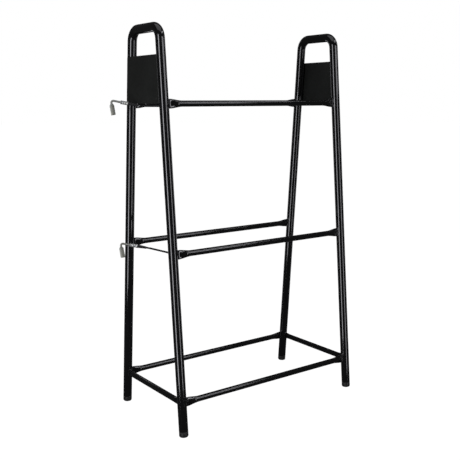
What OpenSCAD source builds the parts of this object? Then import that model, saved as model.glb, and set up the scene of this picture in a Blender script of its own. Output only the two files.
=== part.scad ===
// Three-level open rack: two inverted-U end frames, six rails, two hook arms.
// Millimetres. +Z is up, -Y is the front, the hook arms are on the -X end.
// The origin is on the floor, midway between the four feet.

/* [Rack] */
// Centre to centre distance of the two end frames
rack_length = 600; // [420:10:1200]
// Overall height above the floor
rack_height = 1077; // [950:1:1400]
// Front to rear centre distance of the legs at the floor
foot_spread = 311; // [240:1:420]
// Front to rear centre distance of the legs at the top bends
shoulder_spread = 144; // [110:1:220]

/* [End frames] */
// Outside diameter of the end frame tube
leg_d = 25; // [20:0.5:32]
// Wall thickness of the end frame tube
leg_wall = 1.5; // [1:0.1:2.5]
// Centreline radius of the two top bends
top_bend_r = 32; // [26:1:50]

/* [Rails] */
// Outside diameter of the rails and base bars
rail_d = 16; // [12:0.5:20]
// Wall thickness of the rails and base bars
rail_wall = 1.2; // [0.8:0.1:2]
// Height of the centre of the bottom rails
bottom_rail_z = 91; // [60:1:160]
// Height of the centre of the middle rails
middle_rail_z = 484; // [300:1:600]
// Distance from the top of the rack down to the centre of the top rails
top_rail_drop = 205; // [190:1:320]
// Height of the flattened rail ends
rail_end_h = 25; // [18:0.5:30]
// Thickness of the flattened rail ends
rail_end_t = 3.6; // [2.5:0.1:6]
// Length over which a rail end changes from round to flat
rail_taper = 38; // [20:1:60]
// Height of the slightly flared base bar ends
bar_end_h = 19; // [16:0.5:26]
// Thickness of the slightly flared base bar ends
bar_end_t = 8; // [5:0.5:14]
// Length over which a base bar end changes shape
bar_taper = 18; // [10:1:40]
// Diameter of the drain hole under each rail and base bar
drain_d = 4; // [2:0.5:6]

/* [End plates] */
// Height of the plates that close the end frames below the hand-holds
plate_h = 123; // [60:1:140]
// Thickness of the end plates
plate_t = 2.5; // [1.5:0.1:4]

/* [Feet] */
// Height of the foot plugs below the tube end
foot_h = 14; // [8:0.5:25]
// Edge rounding of the foot plugs
foot_round = 5; // [2:0.5:8]
// Length of the foot plug stem inside the tube
foot_stem = 22; // [10:1:40]

/* [Hook arms] */
// Distance of the upper arm's rod below the centre of the top rails
upper_arm_drop = 6; // [-6:1:12]
// Distance of the middle arm's rod above the centre of the middle rails
middle_arm_rise = 5; // [-6:1:12]
// Diameter of the arm rod
rod_d = 5; // [4:0.5:8]
// Distance from the leg's axis to the corner of the rod
arm_reach = 101; // [60:1:125]
// Sideways slant of the arm rod, away from the rack
arm_slant = 6; // [0:0.5:12]
// Angle of the rod's corner
arm_corner = 53.6; // [30:0.1:80]
// Centreline radius of the rod's corner
arm_corner_r = 18; // [10:1:30]
// Resting angle of the arm above level, about its rod
arm_lift = 13.7; // [0:0.1:20]
// Small diameter of the tapered sleeve
sleeve_d1 = 6.6; // [6:0.1:9]
// Large diameter of the tapered sleeve
sleeve_d2 = 9.4; // [8:0.1:12]
// Distance from the rod's corner to the end of the sleeve
sleeve_end = 33; // [26:1:45]
// Diameter of the plated ferrule
ferrule_d = 10; // [8:0.5:14]
// Length of the plated ferrule
ferrule_l = 21; // [12:1:30]
// Diameter of the hook's wire
hook_d = 5.5; // [4:0.1:7]
// Distance from the rod's corner to the hook's corner
hook_reach = 79; // [65:1:110]
// Angle of the hook's corner
hook_corner = 109.4; // [80:0.1:125]
// Centreline radius of the hook's corner
hook_corner_r = 5; // [4:0.5:10]
// Length of the turned-down tongue from the hook's corner
tongue_l = 39; // [28:1:60]
// Width of the flattened tongue
tongue_w = 12; // [8:0.5:18]
// Thickness of the flattened tongue
tongue_t = 2.4; // [1.5:0.1:4]
// Outside diameter of the swivel bush
bush_d = 9; // [8:0.5:11]

/* [Hidden] */
$fn = 64;

half_l = rack_length / 2;
top_rail_z = rack_height - top_rail_drop;
upper_arm_z = top_rail_z - upper_arm_drop;
middle_arm_z = middle_rail_z + middle_arm_rise;
leg_r = leg_d / 2;
bore_r = leg_r - leg_wall;
bend_z = rack_height - leg_r - top_bend_r;
lean_slope = (foot_spread - shoulder_spread) / 2 / bend_z;
lean = atan(lean_slope);
bend_y = shoulder_spread / 2 - top_bend_r / cos(lean);
leg_top = (bend_z + top_bend_r * sin(lean)) / cos(lean);

running_gap = 0.05;       // radial clearance of the rod in its bush
end_gap = 0.3;            // clearance between turning and still faces
stem_gap = 0.1;           // radial clearance of a foot stem in the tube
overrun = 1;              // how far cutting shapes run past a face
elbow_lap = 0.5;          // degrees that an elbow reaches into its straight tubes
elbow_step = 0.05;        // how much thinner an elbow's wall is on each side
weld_seat = 0.25;         // depth of the seat of a plate on the tubes
cope = 1.5;               // how far a rail reaches past the tube's side
bush_in = bore_r - 1;     // leg axis to the inner end of the bush
bush_out = leg_r + 3;     // leg axis to the outer end of the bush
washer_d = 9.6;
washer_t = 1;
nut_af = 8;
nut_t = 4;
collar_d = 8.4;           // shoulder of the rod outside the bush
collar_t = 1.6;
tongue_cut = 1;           // corner cut at the tongue's end
rod_in = bush_in - end_gap - washer_t - nut_t - 1.2;
corner_tangent = arm_corner_r * tan(arm_corner / 2);
hook_tangent = hook_corner_r * tan(hook_corner / 2);
rod_tip = sleeve_end + ferrule_l / 2 - 0.4;
wire_start = sleeve_end + ferrule_l / 2 + 0.4;

function leg_y(z) = foot_spread / 2 - lean_slope * z;

// Places a child whose +Z runs up a leg from the floor; side 1 is the rear.
module on_leg(end_x, side) {
    translate([end_x, side * foot_spread / 2, 0]) rotate([side * lean, 0, 0]) children();
}

// A round tube up +Z; r_in = 0 makes it solid.
module pipe(r_out, r_in, len) {
    difference() {
        cylinder(r = r_out, h = len);
        if (r_in > 0) translate([0, 0, -overrun]) cylinder(r = r_in, h = len + 2 * overrun);
    }
}

// A bent tube, turning from angle 0 to angle turn about Z, whose ends reach a
// little way into the straight tubes that it joins.
module elbow(r_out, r_in, bend_r, turn) {
    rotate([0, 0, -elbow_lap]) rotate_extrude(angle = turn + 2 * elbow_lap)
        translate([bend_r, 0]) difference() {
            circle(r = r_out - elbow_step);
            if (r_in > 0) circle(r = r_in + elbow_step);
        }
}

// An inverted-U end frame tube, centred on x = 0.
module end_tube() {
    for (side = [-1, 1]) {
        on_leg(0, side) translate([0, 0, foot_h]) pipe(leg_r, bore_r, leg_top - foot_h);
        mirror([0, side < 0 ? 1 : 0, 0]) translate([0, bend_y, bend_z])
            rotate([90, 0, 90]) rotate([0, 0, lean]) elbow(leg_r, bore_r, top_bend_r, 90 - lean);
    }
    translate([0, -bend_y, bend_z + top_bend_r]) rotate([-90, 0, 0])
        pipe(leg_r, bore_r, 2 * bend_y);
}

// Solid leg cylinders used to cope the parts that butt against them.
module leg_cutters(end_x) {
    for (side = [-1, 1]) on_leg(end_x, side) cylinder(r = leg_r, h = leg_top);
}

// A tube along X, tapered to flat ends that stand upright.
module tube_bar(full_l, end_h, end_t, taper) {
    end_x = full_l / 2;
    flat_x = end_x - cope - 4;
    round_x = flat_x - taper;
    wide = rail_d / 2 + overrun;
    difference() {
        union() {
            intersection() {
                translate([-end_x, 0, 0]) rotate([0, 90, 0]) cylinder(d = rail_d, h = full_l);
                translate([0, 0, -rail_d]) linear_extrude(2 * rail_d) polygon([
                    [-end_x, -end_t / 2], [-flat_x, -end_t / 2], [-round_x, -wide],
                    [round_x, -wide], [flat_x, -end_t / 2], [end_x, -end_t / 2],
                    [end_x, end_t / 2], [flat_x, end_t / 2], [round_x, wide],
                    [-round_x, wide], [-flat_x, end_t / 2], [-end_x, end_t / 2]
                ]);
            }
            for (turn = [0, 180]) rotate([0, 0, turn]) translate([0, end_t / 2, 0])
                rotate([90, 0, 0]) linear_extrude(end_t) polygon([
                    [round_x, -rail_d / 4], [flat_x, -end_h / 2], [end_x, -end_h / 2],
                    [end_x, end_h / 2], [flat_x, end_h / 2], [round_x, rail_d / 4]
                ]);
        }
        translate([-round_x, 0, 0]) rotate([0, 90, 0])
            cylinder(d = rail_d - 2 * rail_wall, h = 2 * round_x);
        translate([-round_x + drain_d * 2, 0, -rail_d]) cylinder(d = drain_d, h = rail_d);
    }
}

module rail(z, side) {
    difference() {
        translate([0, side * leg_y(z), z]) rotate([side * lean, 0, 0])
            tube_bar(rack_length - leg_d + 2 * cope, rail_end_h, rail_end_t, rail_taper);
        for (end_x = [-half_l, half_l]) on_leg(end_x, side) cylinder(r = leg_r, h = leg_top);
    }
}

module base_bar(end_x) {
    difference() {
        translate([end_x, 0, bottom_rail_z]) rotate([0, 0, 90])
            tube_bar(2 * leg_y(bottom_rail_z) - leg_d + 2 * cope, bar_end_h, bar_end_t, bar_taper);
        leg_cutters(end_x);
    }
}

module end_plate(outward) {
    inner_x = outward * (half_l + leg_r - weld_seat);
    top_z = top_rail_z + plate_h;
    difference() {
        translate([outward > 0 ? inner_x : inner_x - plate_t, 0, 0])
            rotate([90, 0, 90]) linear_extrude(plate_t) polygon([
                [-leg_y(top_rail_z), top_rail_z], [leg_y(top_rail_z), top_rail_z],
                [leg_y(top_z), top_z], [-leg_y(top_z), top_z]
            ]);
        leg_cutters(outward * half_l);
    }
}

module foot(end_x, side) {
    difference() {
        on_leg(end_x, side) {
            rotate_extrude() union() {
                translate([0, -overrun]) square([leg_r - foot_round, foot_h + overrun]);
                translate([0, foot_round - overrun])
                    square([leg_r, foot_h - foot_round + overrun]);
                translate([leg_r - foot_round, foot_round - overrun])
                    intersection() {
                        circle(r = foot_round);
                        translate([0, -foot_round]) square([foot_round, 2 * foot_round]);
                    }
            }
            translate([0, 0, foot_h - overrun])
                cylinder(r = bore_r - stem_gap, h = foot_stem + overrun);
        }
        translate([end_x - leg_d, side * foot_spread / 2 - leg_d, -leg_d])
            cube([2 * leg_d, 2 * leg_d, leg_d]);
    }
}

// Places a child whose +Y runs along the arm's rod from the leg's axis.
module on_arm(z) {
    translate([-half_l, -leg_y(z), z]) rotate([0, 0, arm_slant]) children();
}

// The same, turned to the arm's resting angle about the rod.
module on_lifted_arm(z) {
    on_arm(z) rotate([0, arm_lift, 0]) children();
}

// Places a child whose +Y runs out from the rod's corner towards the hook.
module on_branch(z) {
    on_lifted_arm(z) translate([0, arm_reach, 0]) rotate([0, 0, arm_corner]) children();
}

module along_y(start, r1, r2, len) {
    translate([0, start, 0]) rotate([-90, 0, 0]) cylinder(r1 = r1, r2 = r2, h = len);
}

module arm_bush(z) {
    on_arm(z) difference() {
        along_y(bush_in, bush_d / 2, bush_d / 2, bush_out - bush_in);
        along_y(bush_in - overrun, rod_d / 2 + running_gap, rod_d / 2 + running_gap,
                bush_out - bush_in + 2 * overrun);
    }
}

module arm_rod(z) {
    on_lifted_arm(z) {
        along_y(rod_in, rod_d / 2, rod_d / 2, arm_reach - corner_tangent - rod_in);
        along_y(bush_out + end_gap, collar_d / 2, collar_d / 2, collar_t);
        translate([-arm_corner_r, arm_reach - corner_tangent, 0])
            elbow(rod_d / 2, 0, arm_corner_r, arm_corner);
        translate([0, arm_reach, 0]) rotate([0, 0, arm_corner])
            along_y(corner_tangent, rod_d / 2, rod_d / 2, rod_tip - corner_tangent);
    }
}

module arm_sleeve(z) {
    on_branch(z) difference() {
        along_y(corner_tangent + 0.5, sleeve_d1 / 2, sleeve_d2 / 2,
                sleeve_end - corner_tangent - 0.5);
        along_y(corner_tangent, rod_d / 2, rod_d / 2, sleeve_end);
    }
}

module arm_ferrule(z) {
    mid = sleeve_end + ferrule_l / 2;
    on_branch(z) difference() {
        along_y(sleeve_end, ferrule_d / 2, ferrule_d / 2, ferrule_l);
        along_y(sleeve_end - overrun, rod_d / 2, rod_d / 2, ferrule_l / 2 + overrun);
        along_y(mid, hook_d / 2, hook_d / 2, ferrule_l / 2 + overrun);
    }
}

module arm_hook(z) {
    neck = hook_tangent + 3;
    tip = tongue_l - neck + 2;
    on_branch(z) {
        along_y(wire_start, hook_d / 2, hook_d / 2, hook_reach - hook_tangent - wire_start);
        translate([0, hook_reach - hook_tangent, -hook_corner_r]) rotate([0, -90, 0])
            elbow(hook_d / 2, 0, hook_corner_r, hook_corner);
        translate([0, hook_reach, 0]) rotate([-hook_corner, 0, 0]) {
            along_y(hook_tangent, hook_d / 2, hook_d / 2, 4);
            translate([-tongue_t / 2, neck - 2, 0]) rotate([0, 90, 0]) linear_extrude(tongue_t)
                polygon([
                    [-hook_d / 3, 0], [-tongue_w / 2, 7], [-tongue_w / 2, tip - tongue_cut],
                    [-tongue_w / 2 + tongue_cut, tip], [tongue_w / 2 - tongue_cut, tip],
                    [tongue_w / 2, tip - tongue_cut], [tongue_w / 2, 7], [hook_d / 3, 0]
                ]);
        }
    }
}

module arm_washer(z) {
    on_lifted_arm(z) difference() {
        along_y(bush_in - end_gap - washer_t, washer_d / 2, washer_d / 2, washer_t);
        along_y(bush_in - end_gap - washer_t - overrun, rod_d / 2, rod_d / 2,
                washer_t + 2 * overrun);
    }
}

module arm_nut(z) {
    on_lifted_arm(z) translate([0, bush_in - end_gap - washer_t - nut_t, 0]) rotate([-90, 0, 0])
        difference() {
            cylinder(d = nut_af / cos(30), h = nut_t, $fn = 6);
            translate([0, 0, -overrun]) cylinder(d = rod_d, h = nut_t + 2 * overrun);
        }
}

module coat() { color([0.05, 0.05, 0.055]) children(); }
module zinc() { color([0.72, 0.74, 0.76]) children(); }
module plastic() { color([0.03, 0.03, 0.03]) children(); }

module left_end_tube() {
    coat() difference() {
        translate([-half_l, 0, 0]) end_tube();
        for (z = [upper_arm_z, middle_arm_z])
            on_arm(z) along_y(bush_in - 4, bush_d / 2, bush_d / 2, bush_out - bush_in + 8);
    }
}
module right_end_tube() { coat() translate([half_l, 0, 0]) end_tube(); }
module left_end_plate() { coat() end_plate(-1); }
module right_end_plate() { coat() end_plate(1); }
module front_bottom_rail() { coat() rail(bottom_rail_z, -1); }
module rear_bottom_rail() { coat() rail(bottom_rail_z, 1); }
module front_middle_rail() { coat() rail(middle_rail_z, -1); }
module rear_middle_rail() { coat() rail(middle_rail_z, 1); }
module front_top_rail() { coat() rail(top_rail_z, -1); }
module rear_top_rail() { coat() rail(top_rail_z, 1); }
module left_base_bar() { coat() base_bar(-half_l); }
module right_base_bar() { coat() base_bar(half_l); }
module front_left_foot() { plastic() foot(-half_l, -1); }
module rear_left_foot() { plastic() foot(-half_l, 1); }
module front_right_foot() { plastic() foot(half_l, -1); }
module rear_right_foot() { plastic() foot(half_l, 1); }
module upper_arm_bush() { plastic() arm_bush(upper_arm_z); }
module upper_arm_rod() { coat() arm_rod(upper_arm_z); }
module upper_arm_sleeve() { plastic() arm_sleeve(upper_arm_z); }
module upper_arm_ferrule() { zinc() arm_ferrule(upper_arm_z); }
module upper_arm_hook() { zinc() arm_hook(upper_arm_z); }
module upper_arm_washer() { zinc() arm_washer(upper_arm_z); }
module upper_arm_nut() { zinc() arm_nut(upper_arm_z); }
module middle_arm_bush() { plastic() arm_bush(middle_arm_z); }
module middle_arm_rod() { coat() arm_rod(middle_arm_z); }
module middle_arm_sleeve() { plastic() arm_sleeve(middle_arm_z); }
module middle_arm_ferrule() { zinc() arm_ferrule(middle_arm_z); }
module middle_arm_hook() { zinc() arm_hook(middle_arm_z); }
module middle_arm_washer() { zinc() arm_washer(middle_arm_z); }
module middle_arm_nut() { zinc() arm_nut(middle_arm_z); }

left_end_tube();
right_end_tube();
left_end_plate();
right_end_plate();
front_bottom_rail();
rear_bottom_rail();
front_middle_rail();
rear_middle_rail();
front_top_rail();
rear_top_rail();
left_base_bar();
right_base_bar();
front_left_foot();
rear_left_foot();
front_right_foot();
rear_right_foot();
upper_arm_bush();
upper_arm_rod();
upper_arm_sleeve();
upper_arm_ferrule();
upper_arm_hook();
upper_arm_washer();
upper_arm_nut();
middle_arm_bush();
middle_arm_rod();
middle_arm_sleeve();
middle_arm_ferrule();
middle_arm_hook();
middle_arm_washer();
middle_arm_nut();
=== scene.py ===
import math

import bmesh
import bpy
from mathutils import Matrix, Vector


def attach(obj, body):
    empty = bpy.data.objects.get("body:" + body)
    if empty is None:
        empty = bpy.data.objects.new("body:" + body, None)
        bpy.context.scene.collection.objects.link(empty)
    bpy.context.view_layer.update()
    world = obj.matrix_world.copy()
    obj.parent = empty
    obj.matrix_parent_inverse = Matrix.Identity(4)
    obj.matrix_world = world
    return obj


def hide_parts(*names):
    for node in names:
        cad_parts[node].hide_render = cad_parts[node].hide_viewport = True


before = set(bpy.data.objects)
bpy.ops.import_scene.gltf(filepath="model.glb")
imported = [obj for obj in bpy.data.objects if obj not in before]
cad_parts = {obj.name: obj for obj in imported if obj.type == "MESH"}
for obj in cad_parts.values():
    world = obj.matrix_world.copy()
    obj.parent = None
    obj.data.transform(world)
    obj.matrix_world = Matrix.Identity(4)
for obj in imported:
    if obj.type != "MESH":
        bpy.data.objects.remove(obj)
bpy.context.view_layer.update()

scene = bpy.context.scene

# ---------------------------------------------------------------- sizes, metres
HALF_LENGTH = 0.300
HEIGHT = 1.077
FOOT_SPREAD = 0.311
SHOULDER_SPREAD = 0.144
LEG_RADIUS = 0.0125
BEND_RADIUS = 0.032
RAIL_RADIUS = 0.008
RAIL_END_H = 0.025
RAIL_END_T = 0.0036
RAIL_TAPER = 0.038
BAR_END_H = 0.019
BAR_END_T = 0.008
BAR_TAPER = 0.018
RAIL_HEIGHTS = {"bottom": 0.091, "middle": 0.484, "top": 0.872}
PLATE_HEIGHT = 0.123
PLATE_THICKNESS = 0.0025
PLATE_SEAT = 0.00025
FOOT_HEIGHT = 0.014
ARM_HEIGHTS = {"upper": 0.866, "middle": 0.489}
ROD_RADIUS = 0.0025
ARM_REACH = 0.101
ARM_SLANT = math.radians(6)
ARM_CORNER = math.radians(53.6)
ARM_CORNER_RADIUS = 0.018
ARM_LIFT = math.radians(13.7)
SLEEVE_END = 0.033
FERRULE_LENGTH = 0.021
FERRULE_RADIUS = 0.005
HOOK_RADIUS = 0.00275
HOOK_REACH = 0.079
HOOK_CORNER = math.radians(109.4)
HOOK_CORNER_RADIUS = 0.005
TONGUE_LENGTH = 0.039
TONGUE_WIDTH = 0.012
TONGUE_THICKNESS = 0.0024

# Small edges, seats and laps.
TUBE_END_CHAMFER = 0.0006
TUBE_END_RING = 0.0012      # rings close to a tube's end keep its wear mask short
SEAT_LAP = 0.0015           # how far a pressed end reaches past the leg's side
PRESSED_FLAT = 0.004        # flat length of a pressed end beyond its lap
PINCH_SHARE = 0.66          # the thickness closes over this much of the taper's length
RAIL_BEAD = 0.0014
BAR_BEAD = 0.0015
BEAD_SPINE = 0.008          # radius of a bead's ring before it is laid round its end
PLATE_CORNER = 0.003
PLATE_RIM = 0.0006
PLATE_BEAD_SETBACK = 0.003
FOOT_ROUND = 0.005
BUSH_IN = 0.010
BUSH_OUT = LEG_RADIUS + 0.003
RUNNING_GAP = 0.00005
END_GAP = 0.0003
ROD_START = 0.0035
MID_GAP = 0.0004            # half the gap between rod and hook inside the neck
SLEEVE_SMALL = 0.0033
SLEEVE_LARGE = 0.0047
PRESS_LAP = 0.0001
HOOK_NECK = 0.001
TONGUE_FLARE = 0.006
TONGUE_TIP = 0.0012

# Steps round tubes, bends and beads.
TUBE_SEGMENTS = 72
BEND_STEPS = 18
RAIL_SEGMENTS = 56
TAPER_STEPS = 34
BEAD_STEPS = 96
PLATE_BEAD_STEPS = 60
WIRE_SEGMENTS = 28

BEND_HEIGHT = HEIGHT - LEG_RADIUS - BEND_RADIUS
LEAN_SLOPE = (FOOT_SPREAD - SHOULDER_SPREAD) / 2 / BEND_HEIGHT
LEAN = math.atan(LEAN_SLOPE)
BEND_Y = SHOULDER_SPREAD / 2 - BEND_RADIUS / math.cos(LEAN)
LEG_TOP = (BEND_HEIGHT + BEND_RADIUS * math.sin(LEAN)) / math.cos(LEAN)
CORNER_TANGENT = ARM_CORNER_RADIUS * math.tan(ARM_CORNER / 2)
HOOK_TANGENT = HOOK_CORNER_RADIUS * math.tan(HOOK_CORNER / 2)


def leg_y(height):
    return FOOT_SPREAD / 2 - LEAN_SLOPE * height


# ---------------------------------------------------------------- camera
CAMERA_PLACE = (-1.3016, -1.7377, 0.8753)
CAMERA_YAW, CAMERA_PITCH, CAMERA_ROLL = 0.63095, 0.16922, 0.0039
CAMERA_SENSOR = 36
CAMERA_LENS = 58.58


def aim_camera():
    yaw, pitch, roll = CAMERA_YAW, CAMERA_PITCH, CAMERA_ROLL
    forward = Vector((math.sin(yaw) * math.cos(pitch), math.cos(yaw) * math.cos(pitch),
                      -math.sin(pitch)))
    right = Vector((math.cos(yaw), -math.sin(yaw), 0))
    down = forward.cross(right)
    right, down = (math.cos(roll) * right + math.sin(roll) * down,
                   math.cos(roll) * down - math.sin(roll) * right)
    lens = bpy.data.cameras.new("camera")
    lens.sensor_width = CAMERA_SENSOR
    lens.lens = CAMERA_LENS
    camera = bpy.data.objects.new("camera", lens)
    scene.collection.objects.link(camera)
    turn = Matrix((right, -down, -forward)).transposed()
    camera.matrix_world = Matrix.Translation(CAMERA_PLACE) @ turn.to_4x4()
    scene.camera = camera


aim_camera()


# ---------------------------------------------------------------- node helpers
class Nodes:
    """Adds and joins nodes in one node tree."""

    def __init__(self, tree):
        self.tree = tree

    def add(self, kind, links=None, values=None, **settings):
        node = self.tree.nodes.new(kind)
        for key, value in settings.items():
            setattr(node, key, value)
        for key, value in (values or {}).items():
            node.inputs[key].default_value = value
        for key, source in (links or {}).items():
            self.tree.links.new(source, node.inputs[key])
        return node

    def ramp(self, source, low, high, low_value=0.0, high_value=1.0):
        node = self.add("ShaderNodeMapRange", {0: source},
                        {1: low, 2: high, 3: low_value, 4: high_value})
        return node.outputs[0]

    def maths(self, operation, first, second):
        node = self.tree.nodes.new("ShaderNodeMath")
        node.operation = operation
        for index, value in enumerate((first, second)):
            if isinstance(value, (int, float)):
                node.inputs[index].default_value = value
            else:
                self.tree.links.new(value, node.inputs[index])
        return node.outputs[0]

    def mix(self, share, first, second):
        node = self.add("ShaderNodeMix", data_type="RGBA")
        sockets = (node.inputs[0], node.inputs[6], node.inputs[7])
        for socket, value in zip(sockets, (share, first, second)):
            if isinstance(value, bpy.types.NodeSocket):
                self.tree.links.new(value, socket)
            else:
                socket.default_value = value
        return node.outputs[2]

    def noise(self, where, scale, detail=2.0, rough=0.5):
        node = self.add("ShaderNodeTexNoise", {"Vector": where},
                        {"Detail": detail, "Roughness": rough})
        if isinstance(scale, bpy.types.NodeSocket):
            self.tree.links.new(scale, node.inputs["Scale"])
        else:
            node.inputs["Scale"].default_value = scale
        return node.outputs["Fac"]


def new_group(name, inputs, outputs):
    tree = bpy.data.node_groups.new(name, "ShaderNodeTree")
    for label, value in inputs.items():
        socket = tree.interface.new_socket(label, in_out="INPUT", socket_type="NodeSocketFloat")
        socket.default_value = value
    for label in outputs:
        tree.interface.new_socket(label, in_out="OUTPUT", socket_type="NodeSocketFloat")
    n = Nodes(tree)
    return n, n.add("NodeGroupInput"), n.add("NodeGroupOutput")


def coat_skin_group():
    """Sprayed and baked finish: fine orange peel, soft smudges and rare specks."""
    n, given, out = new_group("coat_skin", {"Peel Scale": 620.0, "Smudge Scale": 16.0},
                              ("Height", "Smudge", "Speck"))
    where = n.add("ShaderNodeTexCoord").outputs["Object"]
    peel = n.noise(where, given.outputs["Peel Scale"], 2.0, 0.45)
    swell = n.noise(where, 90.0, 2.0, 0.5)
    height = n.maths("ADD", n.maths("MULTIPLY", peel, 0.55), n.maths("MULTIPLY", swell, 0.45))
    smudge = n.ramp(n.noise(where, given.outputs["Smudge Scale"], 2.5, 0.5), 0.30, 0.80)
    speck = n.ramp(n.noise(where, 1400.0, 0.0, 0.5), 0.76, 0.82)
    for label, source in (("Height", height), ("Smudge", smudge), ("Speck", speck)):
        n.tree.links.new(source, out.inputs[label])
    return n.tree


def rub_wear_group():
    """Bright rubbed edges, broken up by noise, and long fine scratches."""
    n, given, out = new_group("rub_wear", {"Edge Start": 0.52, "Scratch Scale": 38.0},
                              ("Edge", "Scratch"))
    where = n.add("ShaderNodeTexCoord").outputs["Object"]
    point = n.add("ShaderNodeNewGeometry").outputs["Pointiness"]
    worn = n.ramp(n.maths("SUBTRACT", point, given.outputs["Edge Start"]), 0.0, 0.05)
    broken = n.ramp(n.noise(where, 240.0, 4.0, 0.65), 0.42, 0.66)
    edge = n.maths("MULTIPLY", worn, broken)
    stretched = n.add("ShaderNodeMapping", {"Vector": where}, {"Scale": (1.0, 1.0, 14.0)})
    lines = n.noise(stretched.outputs[0], given.outputs["Scratch Scale"], 6.0, 0.8)
    patch = n.ramp(n.noise(where, 11.0, 2.0, 0.5), 0.56, 0.7)
    scratch = n.maths("MULTIPLY", n.ramp(lines, 0.64, 0.7), patch)
    for label, source in (("Edge", edge), ("Scratch", scratch)):
        n.tree.links.new(source, out.inputs[label])
    return n.tree


def settled_dust_group():
    """A thin film of dust on what faces up, thicker in patches."""
    n, given, out = new_group("settled_dust", {"Amount": 0.3}, ("Dust",))
    where = n.add("ShaderNodeTexCoord").outputs["Object"]
    normal = n.add("ShaderNodeNewGeometry").outputs["Normal"]
    up = n.add("ShaderNodeSeparateXYZ", {0: normal}).outputs["Z"]
    facing = n.ramp(up, 0.35, 0.95)
    patches = n.ramp(n.noise(where, 55.0, 5.0, 0.7), 0.35, 0.75)
    dust = n.maths("MULTIPLY", n.maths("MULTIPLY", facing, patches), given.outputs["Amount"])
    n.tree.links.new(dust, out.inputs["Dust"])
    return n.tree


def plated_skin_group():
    """Zinc plating: faint cloudy crystals and fine drawn lines."""
    n, given, out = new_group("plated_skin", {"Cloud Scale": 420.0, "Line Scale": 900.0},
                              ("Cloud", "Line", "Height"))
    where = n.add("ShaderNodeTexCoord").outputs["Object"]
    cells = n.add("ShaderNodeTexVoronoi", {"Vector": where, "Scale": given.outputs["Cloud Scale"]})
    cloud = n.ramp(cells.outputs["Color"], 0.1, 0.9)
    stretched = n.add("ShaderNodeMapping", {"Vector": where}, {"Scale": (0.2, 0.2, 2.5)})
    line = n.noise(stretched.outputs[0], given.outputs["Line Scale"], 3.0, 0.6)
    height = n.maths("ADD", n.maths("MULTIPLY", cloud, 0.35), n.maths("MULTIPLY", line, 0.65))
    for label, source in (("Cloud", cloud), ("Line", line), ("Height", height)):
        n.tree.links.new(source, out.inputs[label])
    return n.tree


def moulded_grain_group():
    """Moulded plastic or rubber: fine even grain and dull flow patches."""
    n, given, out = new_group("moulded_grain", {"Grain Scale": 1500.0}, ("Height", "Patch"))
    where = n.add("ShaderNodeTexCoord").outputs["Object"]
    grain = n.noise(where, given.outputs["Grain Scale"], 1.0, 0.5)
    patch = n.ramp(n.noise(where, 120.0, 3.0, 0.6), 0.35, 0.7)
    for label, source in (("Height", grain), ("Patch", patch)):
        n.tree.links.new(source, out.inputs[label])
    return n.tree


COAT_SKIN = coat_skin_group()
RUB_WEAR = rub_wear_group()
SETTLED_DUST = settled_dust_group()
PLATED_SKIN = plated_skin_group()
MOULDED_GRAIN = moulded_grain_group()


def blank_material(name, values):
    material = bpy.data.materials.new(name)
    material.use_nodes = True
    n = Nodes(material.node_tree)
    shader = material.node_tree.nodes["Principled BSDF"]
    for key, value in values.items():
        shader.inputs[key].default_value = value
    return material, n, shader


def use_group(n, tree, **values):
    node = n.add("ShaderNodeGroup", node_tree=tree)
    for key, value in values.items():
        node.inputs[key.replace("_", " ").title()].default_value = value
    return node.outputs


def bump(n, shader, height, strength, distance):
    node = n.add("ShaderNodeBump", {"Height": height}, {"Strength": strength, "Distance": distance})
    n.tree.links.new(node.outputs[0], shader.inputs["Normal"])


def coated_steel(name, colour, rough, peel, coat):
    """Black coat over steel: the groups give peel, smudges, rubbed edges and dust."""
    material, n, shader = blank_material(name, {
        "IOR": 1.5, "Coat Weight": coat, "Coat Roughness": 0.07})
    skin = use_group(n, COAT_SKIN)
    wear = use_group(n, RUB_WEAR)
    film = use_group(n, SETTLED_DUST, amount=0.02)
    deep = [c * 0.85 for c in colour] + [1]
    shade = n.mix(skin["Smudge"], deep, [c * 1.2 for c in colour] + [1])
    shade = n.mix(n.maths("MULTIPLY", skin["Speck"], 0.03), shade, (0.2, 0.2, 0.19, 1))
    shade = n.mix(film["Dust"], shade, (0.30, 0.29, 0.27, 1))
    shade = n.mix(n.maths("MULTIPLY", wear["Edge"], 0.35), shade, (0.16, 0.16, 0.165, 1))
    shade = n.mix(n.maths("MULTIPLY", wear["Scratch"], 0.05), shade, (0.2, 0.2, 0.2, 1))
    n.tree.links.new(shade, shader.inputs["Base Color"])
    gloss = n.ramp(skin["Smudge"], 0.0, 1.0, *rough)
    gloss = n.maths("ADD", gloss, n.maths("MULTIPLY", film["Dust"], 0.4))
    gloss = n.maths("ADD", gloss, n.maths("MULTIPLY", wear["Scratch"], 0.15))
    n.tree.links.new(gloss, shader.inputs["Roughness"])
    height = n.maths("SUBTRACT", skin["Height"], n.maths("MULTIPLY", wear["Scratch"], 0.2))
    bump(n, shader, height, peel, 0.0001)
    return material


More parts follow.
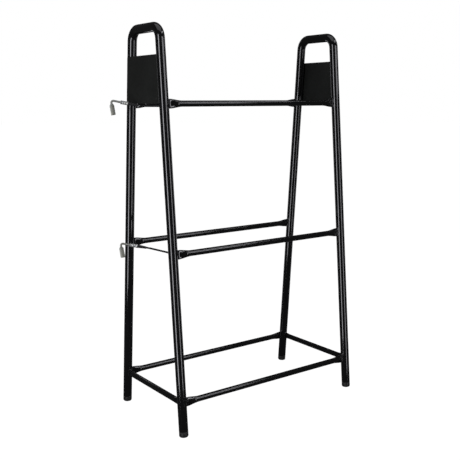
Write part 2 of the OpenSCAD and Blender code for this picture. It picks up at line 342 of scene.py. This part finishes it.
def zinc_plating(name, colour, rough):
    """Bright or dull zinc, with clouded crystals and a little dust."""
    material, n, shader = blank_material(name, {"Metallic": 1.0})
    skin = use_group(n, PLATED_SKIN)
    wear = use_group(n, RUB_WEAR, edge_start=0.51)
    film = use_group(n, SETTLED_DUST, amount=0.12)
    cool = [colour[0] * 0.94, colour[1] * 0.99, colour[2] * 1.04, 1]
    warm = [colour[0] * 1.05, colour[1] * 1.0, colour[2] * 0.9, 1]
    shade = n.mix(skin["Cloud"], cool, warm)
    shade = n.mix(n.maths("MULTIPLY", wear["Edge"], 0.5), shade, (0.9, 0.9, 0.9, 1))
    shade = n.mix(film["Dust"], shade, (0.4, 0.39, 0.37, 1))
    n.tree.links.new(shade, shader.inputs["Base Color"])
    gloss = n.ramp(skin["Line"], 0.3, 0.7, *rough)
    n.tree.links.new(gloss, shader.inputs["Roughness"])
    bump(n, shader, skin["Height"], 0.05, 0.0002)
    return material


def moulded(name, colour, rough, grain):
    """Black plastic or rubber, duller in patches."""
    material, n, shader = blank_material(name, {"IOR": 1.48})
    skin = use_group(n, MOULDED_GRAIN)
    wear = use_group(n, RUB_WEAR)
    film = use_group(n, SETTLED_DUST, amount=0.25)
    deep = [c * 0.75 for c in colour] + [1]
    shade = n.mix(skin["Patch"], deep, [c * 1.4 for c in colour] + [1])
    shade = n.mix(n.maths("MULTIPLY", wear["Edge"], 0.4), shade, (0.12, 0.12, 0.12, 1))
    shade = n.mix(film["Dust"], shade, (0.26, 0.25, 0.24, 1))
    n.tree.links.new(shade, shader.inputs["Base Color"])
    gloss = n.ramp(skin["Patch"], 0.0, 1.0, *rough)
    n.tree.links.new(gloss, shader.inputs["Roughness"])
    bump(n, shader, skin["Height"], grain, 0.0002)
    return material


FRAME_COAT = coated_steel("frame_gloss_black", (0.004, 0.004, 0.0045),
                          rough=(0.07, 0.11), peel=0.04, coat=0.5)
RAIL_COAT = coated_steel("rail_gloss_black", (0.004, 0.004, 0.0045),
                         rough=(0.08, 0.12), peel=0.04, coat=0.4)
PLATE_COAT = coated_steel("plate_satin_black", (0.010, 0.011, 0.0095),
                          rough=(0.46, 0.52), peel=0.10, coat=0.0)
WELD_COAT = coated_steel("weld_gloss_black", (0.006, 0.006, 0.0065),
                         rough=(0.14, 0.24), peel=0.10, coat=0.4)
ROD_COAT = coated_steel("rod_black", (0.008, 0.008, 0.0085),
                        rough=(0.24, 0.34), peel=0.10, coat=0.2)
ZINC = zinc_plating("bright_zinc", (0.62, 0.63, 0.62), rough=(0.46, 0.60))
HOOK_ZINC = zinc_plating("hook_dull_zinc", (0.33, 0.335, 0.30), rough=(0.50, 0.64))
HARDWARE = zinc_plating("plain_hardware", (0.5, 0.51, 0.53), rough=(0.3, 0.48))
FOOT_PLASTIC = moulded("foot_black_plastic", (0.012, 0.012, 0.012), rough=(0.34, 0.5), grain=0.18)
BUSH_PLASTIC = moulded("bush_black_plastic", (0.016, 0.016, 0.016), rough=(0.36, 0.5), grain=0.18)
SLEEVE_RUBBER = moulded("sleeve_black_rubber", (0.014, 0.014, 0.015),
                        rough=(0.45, 0.62), grain=0.26)


# ---------------------------------------------------------------- mesh helpers
def circle(bm, radius, segments, place):
    made = bmesh.ops.create_circle(bm, cap_ends=False, segments=segments, radius=radius,
                                   matrix=place)
    return made["verts"]


def loop_edges(verts):
    ring = set(verts)
    return list({e for v in verts for e in v.link_edges if e.other_vert(v) in ring})


def run(bm, verts, offset, widen=None, space=None):
    """Extrudes a ring of verts by offset, then scales the new ring about space's origin."""
    made = bmesh.ops.extrude_edge_only(bm, edges=loop_edges(verts))["geom"]
    ring = [g for g in made if isinstance(g, bmesh.types.BMVert)]
    bmesh.ops.translate(bm, verts=ring, vec=offset)
    if widen:
        middle = sum((v.co for v in ring), Vector()) / len(ring)
        frame_of_ring = (space or Matrix.Identity(4)).inverted() @ Matrix.Translation(-middle)
        bmesh.ops.scale(bm, verts=ring, vec=widen, space=frame_of_ring)
    return ring


def turn(bm, verts, centre, axis, angle, steps):
    made = bmesh.ops.spin(bm, geom=loop_edges(verts), cent=centre, axis=axis, angle=angle,
                          steps=steps, use_duplicate=False)["geom_last"]
    return [g for g in made if isinstance(g, bmesh.types.BMVert)]


def cap(bm, verts):
    bmesh.ops.contextual_create(bm, geom=loop_edges(verts))


def put(bm, matrix):
    bmesh.ops.transform(bm, matrix=matrix, verts=bm.verts)
    return bm


def lathe(profile, segments=48):
    """Spins (radius, height) points about Z. A radius of 0 closes the shape."""
    bm = bmesh.new()
    points = [bm.verts.new((r, 0, z)) for r, z in profile]
    edges = [bm.edges.new(pair) for pair in zip(points, points[1:])]
    if profile[0][0] > 0:
        edges.append(bm.edges.new((points[-1], points[0])))
    bmesh.ops.spin(bm, geom=points + edges, cent=(0, 0, 0), axis=(0, 0, 1), angle=math.tau,
                   steps=segments, use_merge=True, use_duplicate=False)
    bmesh.ops.remove_doubles(bm, verts=bm.verts, dist=1e-6)
    return bm


def piece(name, bm, material, body, nodes=(), sharp=40):
    bmesh.ops.remove_doubles(bm, verts=bm.verts, dist=1e-7)
    bmesh.ops.recalc_face_normals(bm, faces=bm.faces)
    mesh = bpy.data.meshes.new(name)
    bm.to_mesh(mesh)
    bm.free()
    mesh.shade_smooth()
    mesh.set_sharp_from_angle(angle=math.radians(sharp))
    mesh.materials.append(material)
    made = bpy.data.objects.new(name, mesh)
    scene.collection.objects.link(made)
    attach(made, body)
    if nodes:
        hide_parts(*nodes)
    return made


def smooth_step(value):
    value = max(0.0, min(1.0, value))
    return value * value * (3 - 2 * value)


def soft_ramp(value):
    """Rises at an even rate, eased only close to 0 and 1."""
    value = max(0.0, min(1.0, value))
    ease = 0.12
    if value < ease:
        return value * value / (2 * ease * (1 - ease))
    if value > 1 - ease:
        return 1 - soft_ramp(1 - value)
    return (value - ease / 2) / (1 - ease)


def stadium_point(share, height, thickness):
    """A point on a flattened tube's outline, and its outward normal, share from 0 to 1."""
    straight = height - thickness
    around = 2 * straight + math.pi * thickness
    travel = (share % 1) * around
    half_arc = math.pi * thickness / 2
    quarter = half_arc / 2
    # The walk starts in the middle of the +y flank and climbs towards +z.
    for start, size, part in ((0, straight / 2, "flank"), (straight / 2, half_arc, "crown"),
                              (straight / 2 + half_arc, straight, "back"),
                              (1.5 * straight + half_arc, half_arc, "keel"),
                              (1.5 * straight + 2 * half_arc, straight / 2, "last")):
        if travel <= start + size + 1e-12:
            step = travel - start
            break
    r = thickness / 2
    if part == "flank":
        return (r, step), (1, 0)
    if part == "last":
        return (r, step - straight / 2), (1, 0)
    if part == "back":
        return (-r, straight / 2 - step), (-1, 0)
    a = step / r
    if part == "crown":
        return (r * math.cos(a), straight / 2 + r * math.sin(a)), (math.cos(a), math.sin(a))
    return (-r * math.cos(a), -straight / 2 - r * math.sin(a)), (-math.cos(a), -math.sin(a))


# ---------------------------------------------------------------- end frames
def end_frame(name, end_x, node):
    """One tube up a leg, over the hand-hold and down the other leg."""
    bm = bmesh.new()
    along = Vector((0, math.sin(LEAN), math.cos(LEAN)))
    down = Vector((0, math.sin(LEAN), -math.cos(LEAN)))
    narrow = LEG_RADIUS - TUBE_END_CHAMFER
    leg_run = LEG_TOP - FOOT_HEIGHT - TUBE_END_CHAMFER - 2 * TUBE_END_RING
    foot_point = Vector((end_x, -FOOT_SPREAD / 2, 0))
    place = Matrix.Translation(foot_point + along * FOOT_HEIGHT) @ Matrix.Rotation(-LEAN, 4, "X")
    start = circle(bm, narrow, TUBE_SEGMENTS, place)
    ring = run(bm, start, along * TUBE_END_CHAMFER, (LEG_RADIUS / narrow,) * 3)
    for step in (TUBE_END_RING, TUBE_END_RING, leg_run):
        ring = run(bm, ring, along * step)
    ring = turn(bm, ring, (end_x, -BEND_Y, BEND_HEIGHT), (-1, 0, 0), math.pi / 2 - LEAN, BEND_STEPS)
    ring = run(bm, ring, (0, 2 * BEND_Y, 0))
    ring = turn(bm, ring, (end_x, BEND_Y, BEND_HEIGHT), (-1, 0, 0), math.pi / 2 - LEAN, BEND_STEPS)
    for step in (leg_run, TUBE_END_RING, TUBE_END_RING):
        ring = run(bm, ring, down * step)
    ring = run(bm, ring, down * TUBE_END_CHAMFER, (narrow / LEG_RADIUS,) * 3)
    cap(bm, start)
    cap(bm, ring)
    return piece(name, bm, FRAME_COAT, "frame", [node])


for side_name, end_x in (("left", -HALF_LENGTH), ("right", HALF_LENGTH)):
    end_frame(side_name + "_frame_tube", end_x, side_name + "_end_tube")


# ---------------------------------------------------------------- rails and bars
def pressed_bar(length, end_h, end_t, taper):
    """A tube along X whose ends are pressed flat, standing upright."""
    flat = SEAT_LAP + PRESSED_FLAT
    stations = [0, 0.0004]
    stations += [flat * i / 3 for i in (1, 2, 3)]
    stations += [flat + taper * i / TAPER_STEPS for i in range(1, TAPER_STEPS + 1)]
    stations += [length / 4, length / 2]
    stations += [length - s for s in reversed(stations[:-1])]
    bm = bmesh.new()
    place = Matrix.Translation((-length / 2, 0, 0)) @ Matrix.Rotation(math.pi / 2, 4, "Y")
    ring = first = circle(bm, RAIL_RADIUS, RAIL_SEGMENTS, place)
    for here, there in zip(stations, stations[1:]):
        ring = run(bm, ring, (there - here, 0, 0))
    cap(bm, first)
    cap(bm, ring)
    for v in bm.verts:
        from_end = length / 2 - abs(v.co.x)
        along = (from_end - flat) / taper
        spread = 1 - smooth_step(along)
        pinched = 1 - soft_ramp(along / PINCH_SHARE)
        if spread > 0:
            share = math.atan2(v.co.z, v.co.y) / math.tau
            (y, z), _ = stadium_point(share, end_h, end_t)
            v.co.y += (y - v.co.y) * pinched
            v.co.z += (z - v.co.z) * spread
    return bm


def weld_bead(height, thickness, size):
    """A rippled bead round a flattened end, bedded on a round leg. It faces -X."""
    bm = bmesh.new()
    place = Matrix.Translation((0, BEAD_SPINE, 0)) @ Matrix.Rotation(math.pi, 4, "X")
    ring = circle(bm, size, 10, place)
    bmesh.ops.spin(bm, geom=loop_edges(ring) + ring, cent=(0, 0, 0), axis=(1, 0, 0), angle=math.tau,
                   steps=BEAD_STEPS, use_merge=True, use_duplicate=False)
    bmesh.ops.remove_doubles(bm, verts=bm.verts, dist=1e-7)
    for v in bm.verts:
        share = math.atan2(v.co.z, v.co.y) / math.tau
        out = math.hypot(v.co.y, v.co.z) - BEAD_SPINE
        deep = v.co.x
        ripple = 0.13 * math.sin(share * math.tau * 22)
        swell = 1 + ripple + 0.06 * math.sin(share * math.tau * 5 + 1)
        (y, z), (ny, nz) = stadium_point(share, height, thickness)
        y, z = y + ny * out * swell, z + nz * out * swell
        sag = LEG_RADIUS - math.sqrt(max(LEG_RADIUS ** 2 - y * y, 0))
        v.co = (deep * swell * 0.9 + sag, y, z)
    return bm


def welded_bar(name, place, half_gap, end_names, end_size, taper, bead_size, lean=0.0):
    """A pressed bar between two legs, half_gap from its middle to each leg's side."""
    bar = pressed_bar(2 * half_gap + 2 * SEAT_LAP, *end_size, taper)
    piece(name + "_tube", put(bar, place), RAIL_COAT, "frame", [name])
    for end_name, end in zip(end_names, (-1, 1)):
        bead = weld_bead(*end_size, bead_size)
        if end > 0:
            put(bead, Matrix.Rotation(math.pi, 4, "Z"))
        seat = Matrix.Translation((end * half_gap, 0, 0)) @ Matrix.Rotation(-end * lean, 4, "Y")
        put(bead, place @ seat)
        piece(f"{name}_{end_name}_weld", bead, WELD_COAT, "frame")


def rail(level, side, name):
    height = RAIL_HEIGHTS[level]
    lift = Matrix.Translation((0, side * leg_y(height), height))
    welded_bar(name, lift @ Matrix.Rotation(side * LEAN, 4, "X"), HALF_LENGTH - LEG_RADIUS,
               ("left", "right"), (RAIL_END_H, RAIL_END_T), RAIL_TAPER, RAIL_BEAD)


def base_bar(side_name, end_x):
    height = RAIL_HEIGHTS["bottom"]
    lift = Matrix.Translation((end_x, 0, height))
    welded_bar(side_name + "_base_bar", lift @ Matrix.Rotation(math.pi / 2, 4, "Z"),
               leg_y(height) - LEG_RADIUS, ("front", "rear"), (BAR_END_H, BAR_END_T), BAR_TAPER,
               BAR_BEAD, LEAN)


for level in RAIL_HEIGHTS:
    for side_name, side in (("front", -1), ("rear", 1)):
        rail(level, side, f"{side_name}_{level}_rail")
base_bar("left", -HALF_LENGTH)
base_bar("right", HALF_LENGTH)


# ---------------------------------------------------------------- end plates
def end_plate(side_name, outward):
    low, high = RAIL_HEIGHTS["top"], RAIL_HEIGHTS["top"] + PLATE_HEIGHT
    inner = outward * (HALF_LENGTH + LEG_RADIUS - PLATE_SEAT)
    bm = bmesh.new()
    corners = [bm.verts.new((inner, y, z)) for y, z in (
        (-leg_y(low), low), (leg_y(low), low), (leg_y(high), high), (-leg_y(high), high))]
    bmesh.ops.contextual_create(bm, geom=corners)
    faces = bmesh.ops.extrude_face_region(bm, geom=bm.faces[:])["geom"]
    moved = [g for g in faces if isinstance(g, bmesh.types.BMVert)]
    bmesh.ops.translate(bm, verts=moved, vec=(outward * PLATE_THICKNESS, 0, 0))
    bmesh.ops.recalc_face_normals(bm, faces=bm.faces)
    upright = [e for e in bm.edges if abs(e.verts[0].co.x - e.verts[1].co.x) > 0.001]
    bmesh.ops.bevel(bm, geom=upright, offset=PLATE_CORNER, affect="EDGES", segments=5,
                    profile=0.5, material=-1)
    rim = [e for e in bm.edges if len(e.link_faces) == 2 and e.calc_face_angle(0) > 1.0]
    bmesh.ops.bevel(bm, geom=rim, offset=PLATE_RIM, affect="EDGES", segments=3,
                    profile=0.5, material=-1)
    piece(side_name + "_end_sheet", bm, PLATE_COAT, "frame",
          [side_name + "_end_plate"], 30)
    for edge_name, side in (("front", -1), ("rear", 1)):
        plate_bead(f"{side_name}_plate_{edge_name}_weld", inner + outward * 0.0002, side, low, high)


def plate_bead(name, x, side, low, high):
    """A thin rippled bead up a plate's edge, tapered at both ends."""
    bead = bmesh.new()
    span = (high - low - 2 * PLATE_BEAD_SETBACK) / math.cos(LEAN)
    taper = 0.001
    along = Vector((0, -side * math.sin(LEAN), math.cos(LEAN)))
    corner = Vector((x, side * (leg_y(low) - 0.0026), low))
    place = Matrix.Translation(corner + along * PLATE_BEAD_SETBACK)
    first = circle(bead, 0.0004, 12, place @ Matrix.Rotation(side * LEAN, 4, "X"))
    ring = run(bead, first, along * taper, (3.2, 3.2, 3.2))
    for index in range(PLATE_BEAD_STEPS):
        swell = (1.1, 1 / 1.1)[index % 2]
        ring = run(bead, ring, along * ((span - 2 * taper) / PLATE_BEAD_STEPS), (swell,) * 3)
    ring = run(bead, ring, along * taper, (0.3, 0.3, 0.3))
    cap(bead, first)
    cap(bead, ring)
    piece(name, bead, WELD_COAT, "frame")


end_plate("left", -1)
end_plate("right", 1)


# ---------------------------------------------------------------- feet
def foot(side_name, end_name, side, end_x):
    """A plug with a rounded rim and a groove, cut level at the floor."""
    r, h, flat = LEG_RADIUS, FOOT_HEIGHT, LEG_RADIUS - FOOT_ROUND
    profile = [(0, -0.001), (flat, -0.001)]
    profile += [(flat + FOOT_ROUND * math.sin(a * math.pi / 16),
                 0.004 - FOOT_ROUND * math.cos(a * math.pi / 16)) for a in range(1, 9)]
    profile += [(r, h - 0.0042), (r - 0.0005, h - 0.0038), (r - 0.0005, h - 0.0032),
                (r, h - 0.0028), (r, h - 0.0006), (r - 0.0006, h), (r - 0.003, h),
                (r - 0.003, h + 0.004), (0, h + 0.004)]
    lean = Matrix.Rotation(side * LEAN, 4, "X")
    bm = put(lathe(profile, 64), Matrix.Translation((end_x, side * FOOT_SPREAD / 2, 0)) @ lean)
    everything = bm.verts[:] + bm.edges[:] + bm.faces[:]
    bmesh.ops.bisect_plane(bm, geom=everything, plane_co=(0, 0, 0), plane_no=(0, 0, -1),
                           clear_outer=True)
    rim = [e for e in bm.edges if e.is_boundary]
    bmesh.ops.contextual_create(bm, geom=rim)
    name = f"{side_name}_{end_name}_foot"
    piece(name + "_plug", bm, FOOT_PLASTIC, "frame", [name])


for side_name, side in (("front", -1), ("rear", 1)):
    for end_name, end_x in (("left", -HALF_LENGTH), ("right", HALF_LENGTH)):
        foot(side_name, end_name, side, end_x)


# ---------------------------------------------------------------- hook arms
def arm_place(height, lifted=True):
    place = Matrix.Translation((-HALF_LENGTH, -leg_y(height), height))
    place = place @ Matrix.Rotation(ARM_SLANT, 4, "Z")
    return place @ Matrix.Rotation(ARM_LIFT, 4, "Y") if lifted else place


def branch_place(height):
    corner = Matrix.Translation((0, ARM_REACH, 0)) @ Matrix.Rotation(ARM_CORNER, 4, "Z")
    return arm_place(height) @ corner


ALONG_Y = Matrix.Rotation(-math.pi / 2, 4, "X")     # lathe shapes grow along +Y


def arm_rod(name, height):
    bm = bmesh.new()
    first = circle(bm, ROD_RADIUS, WIRE_SEGMENTS, Matrix.Translation((0, ROD_START, 0)) @ ALONG_Y)
    ring = run(bm, first, (0, ARM_REACH - CORNER_TANGENT - ROD_START, 0))
    centre = (-ARM_CORNER_RADIUS, ARM_REACH - CORNER_TANGENT, 0)
    ring = turn(bm, ring, centre, (0, 0, 1), ARM_CORNER, 14)
    out = Vector((-math.sin(ARM_CORNER), math.cos(ARM_CORNER), 0))
    ring = run(bm, ring, out * (SLEEVE_END + FERRULE_LENGTH / 2 - MID_GAP - CORNER_TANGENT))
    cap(bm, first)
    cap(bm, ring)
    put(bm, arm_place(height))
    piece(name + "_rod_bar", bm, ROD_COAT, name, [name + "_rod"])
    collar = lathe([(0.0024, 0), (0.0038, 0), (0.0042, 0.0003), (0.0042, 0.0013),
                    (0.0038, 0.0016), (0.0024, 0.0016)], 40)
    put(collar, arm_place(height) @ Matrix.Translation((0, BUSH_OUT + END_GAP, 0)) @ ALONG_Y)
    piece(name + "_rod_collar", collar, ROD_COAT, name)


def arm_bush(name, height):
    bore = ROD_RADIUS + RUNNING_GAP
    profile = [(bore + 0.0003, BUSH_OUT), (0.0041, BUSH_OUT), (0.0045, BUSH_OUT - 0.0004),
               (0.0045, BUSH_IN), (bore, BUSH_IN), (bore, BUSH_OUT - 0.0003)]
    bm = put(lathe(profile, 44), arm_place(height, False) @ ALONG_Y)
    piece(name + "_bush_ring", bm, BUSH_PLASTIC, "frame", [name + "_bush"])


def arm_sleeve(name, height):
    """A cone with seven shallow ribs between its plain ends."""
    start, end = CORNER_TANGENT + 0.0005, SLEEVE_END
    inner, lip = ROD_RADIUS - PRESS_LAP, 0.0004
    steps = 44
    profile = [(inner, start), (SLEEVE_SMALL - lip, start)]
    for index in range(1, steps + 1):
        share = index / steps
        ribbed = 0.12 < share < 0.85
        rib = 0.00022 * (0.5 + 0.5 * math.cos(share * math.tau * 7)) if ribbed else 0
        radius = SLEEVE_SMALL + (SLEEVE_LARGE - SLEEVE_SMALL) * share - rib
        profile.append((radius, start + (end - start) * share))
    profile += [(SLEEVE_LARGE - lip, end + 0.0002), (inner, end + 0.0002)]
    bm = put(lathe(profile, 40), branch_place(height) @ ALONG_Y)
    piece(name + "_sleeve_cone", bm, SLEEVE_RUBBER, name, [name + "_sleeve"])


def arm_ferrule(name, height):
    """A neck with three rounded grooves."""
    r, start, end = FERRULE_RADIUS, SLEEVE_END, SLEEVE_END + FERRULE_LENGTH
    inner, wire = ROD_RADIUS - PRESS_LAP, HOOK_RADIUS - PRESS_LAP
    profile = [(inner, start), (r - 0.0006, start), (r - 0.0001, start + 0.0006)]
    for centre in (start + 0.0055, start + 0.0105, start + 0.0155):
        profile += [(r - 0.0001, centre - 0.0014), (r - 0.00055, centre - 0.0008),
                    (r - 0.0007, centre), (r - 0.00055, centre + 0.0008),
                    (r - 0.0001, centre + 0.0014)]
    profile += [(r, end - 0.0014), (r, end - 0.0007), (r - 0.0008, end), (wire, end),
                (wire, end - 0.004), (inner, end - 0.004)]
    bm = put(lathe(profile, 48), branch_place(height) @ ALONG_Y)
    piece(name + "_ferrule_sleeve", bm, ZINC, name, [name + "_ferrule"])


def arm_hook(name, height):
    """A wire that bends down and is beaten out into a flat tongue with rounded corners."""
    bm = bmesh.new()
    begin = SLEEVE_END + FERRULE_LENGTH / 2 + MID_GAP
    first = circle(bm, HOOK_RADIUS, WIRE_SEGMENTS, Matrix.Translation((0, begin, 0)) @ ALONG_Y)
    ring = run(bm, first, (0, HOOK_REACH - HOOK_TANGENT - begin, 0))
    centre = (0, HOOK_REACH - HOOK_TANGENT, -HOOK_CORNER_RADIUS)
    ring = turn(bm, ring, centre, (-1, 0, 0), HOOK_CORNER, 20)
    down = Vector((0, math.cos(HOOK_CORNER), -math.sin(HOOK_CORNER)))
    ring = run(bm, ring, down * HOOK_NECK)
    tongue = Matrix.Rotation(-HOOK_CORNER, 4, "X")
    straight = TONGUE_LENGTH - HOOK_TANGENT - HOOK_NECK - TONGUE_FLARE - TONGUE_TIP
    full = TONGUE_WIDTH / 2 / HOOK_RADIUS
    thin = TONGUE_THICKNESS / 2 / HOOK_RADIUS
    width, depth = 1.0, 1.0
    flare_steps, tip_steps = 12, 5
    for index in range(1, flare_steps + 1):
        share = smooth_step(index / flare_steps)
        new_width, new_depth = 1 + (full - 1) * share, 1 + (thin - 1) * share
        widen = (new_depth / depth, 1, new_width / width)
        ring = run(bm, ring, down * (TONGUE_FLARE / flare_steps), widen, tongue)
        width, depth = new_width, new_depth
    ring = run(bm, ring, down * straight)
    for index in range(1, tip_steps + 1):
        angle, last_angle = index * math.pi / 10, (index - 1) * math.pi / 10
        new_width = full - (1 - math.cos(angle)) * TONGUE_TIP / HOOK_RADIUS
        new_depth = thin * (1 - 0.3 * (index / tip_steps) ** 3)
        step = TONGUE_TIP * (math.sin(angle) - math.sin(last_angle))
        widen = (new_depth / depth, 1, new_width / width)
        ring = run(bm, ring, down * step, widen, tongue)
        width, depth = new_width, new_depth
    cap(bm, first)
    cap(bm, ring)
    put(bm, branch_place(height))
    piece(name + "_hook_wire", bm, HOOK_ZINC, name, [name + "_hook"])


for level, height in ARM_HEIGHTS.items():
    arm = level + "_arm"
    arm_rod(arm, height)
    arm_bush(arm, height)
    arm_sleeve(arm, height)
    arm_ferrule(arm, height)
    arm_hook(arm, height)
    for node in (arm + "_washer", arm + "_nut"):
        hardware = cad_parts[node]
        hardware.data.materials.clear()
        hardware.data.materials.append(HARDWARE)


# ---------------------------------------------------------------- floor and light
FLOOR_GREY = 0.22
FLOOR_GLOW = 1.0
SKY_SEEN = 1.0
SKY_LIGHT = 0.045
LAMP_COLOUR = (0.95, 0.95, 1.0)
# name, place, what it faces, width, height, watts
LAMPS = (
    ("left_strip", (-2.37, -0.80, 0.75), (0, 0, 0.75), 0.70, 2.5, 33),
    ("right_strip", (0.60, -2.70, 0.75), (0, 0, 0.75), 0.48, 2.5, 19),
    ("top_panel", (-0.3, -0.4, 3.0), (0, 0, 0.4), 2.6, 2.0, 12),
    ("rail_panel", (1.35, -1.45, 2.75), (-0.1, -0.08, 0.8), 1.5, 0.30, 8),
    ("low_rail_panel", (1.35, -2.15, 1.55), (-0.2, -0.1, 0.4), 0.45, 0.55, 4),
    ("back_left_strip", (0.15, 2.7, 0.75), (0.15, 0, 0.75), 0.50, 2.5, 6),
    ("back_right_strip", (2.6, 0.35, 0.75), (0, 0, 0.75), 0.50, 2.5, 6),
)


def pale_floor():
    """White where it is seen directly, grey for bounced light, and out of reflections."""
    bm = bmesh.new()
    bmesh.ops.create_circle(bm, cap_ends=True, segments=96, radius=30)
    mesh = bpy.data.meshes.new("floor")
    bm.to_mesh(mesh)
    bm.free()
    material, n, shader = blank_material("pale_floor", {
        "Roughness": 0.9, "Specular IOR Level": 0.0, "Emission Color": (1, 1, 1, 1)})
    seen = n.add("ShaderNodeLightPath").outputs["Is Camera Ray"]
    grey = n.mix(seen, (FLOOR_GREY, FLOOR_GREY, FLOOR_GREY, 1), (0.12, 0.12, 0.12, 1))
    n.tree.links.new(grey, shader.inputs["Base Color"])
    n.tree.links.new(n.ramp(seen, 0, 1, 0.0, FLOOR_GLOW), shader.inputs["Emission Strength"])
    mesh.materials.append(material)
    floor = bpy.data.objects.new("floor", mesh)
    scene.collection.objects.link(floor)
    floor.visible_glossy = False
    floor.visible_shadow = False


def pale_sky():
    world = bpy.data.worlds.new("studio")
    world.use_nodes = True
    n = Nodes(world.node_tree)
    seen = n.add("ShaderNodeLightPath").outputs["Is Camera Ray"]
    background = world.node_tree.nodes["Background"]
    background.inputs["Color"].default_value = (1, 1, 1, 1)
    n.tree.links.new(n.ramp(seen, 0, 1, SKY_LIGHT, SKY_SEEN), background.inputs["Strength"])
    scene.world = world


def soft_light(name, place, target, width, height, power):
    lamp = bpy.data.lights.new(name, "AREA")
    lamp.shape, lamp.size, lamp.size_y, lamp.energy = "RECTANGLE", width, height, power
    lamp.color = LAMP_COLOUR
    light = bpy.data.objects.new(name, lamp)
    light.location = place
    light.rotation_mode = "QUATERNION"
    light.rotation_quaternion = (Vector(target) - Vector(place)).to_track_quat("-Z", "Y")
    scene.collection.objects.link(light)


scene.view_settings.view_transform = "Standard"
pale_floor()
pale_sky()
for lamp_settings in LAMPS:
    soft_light(*lamp_settings)
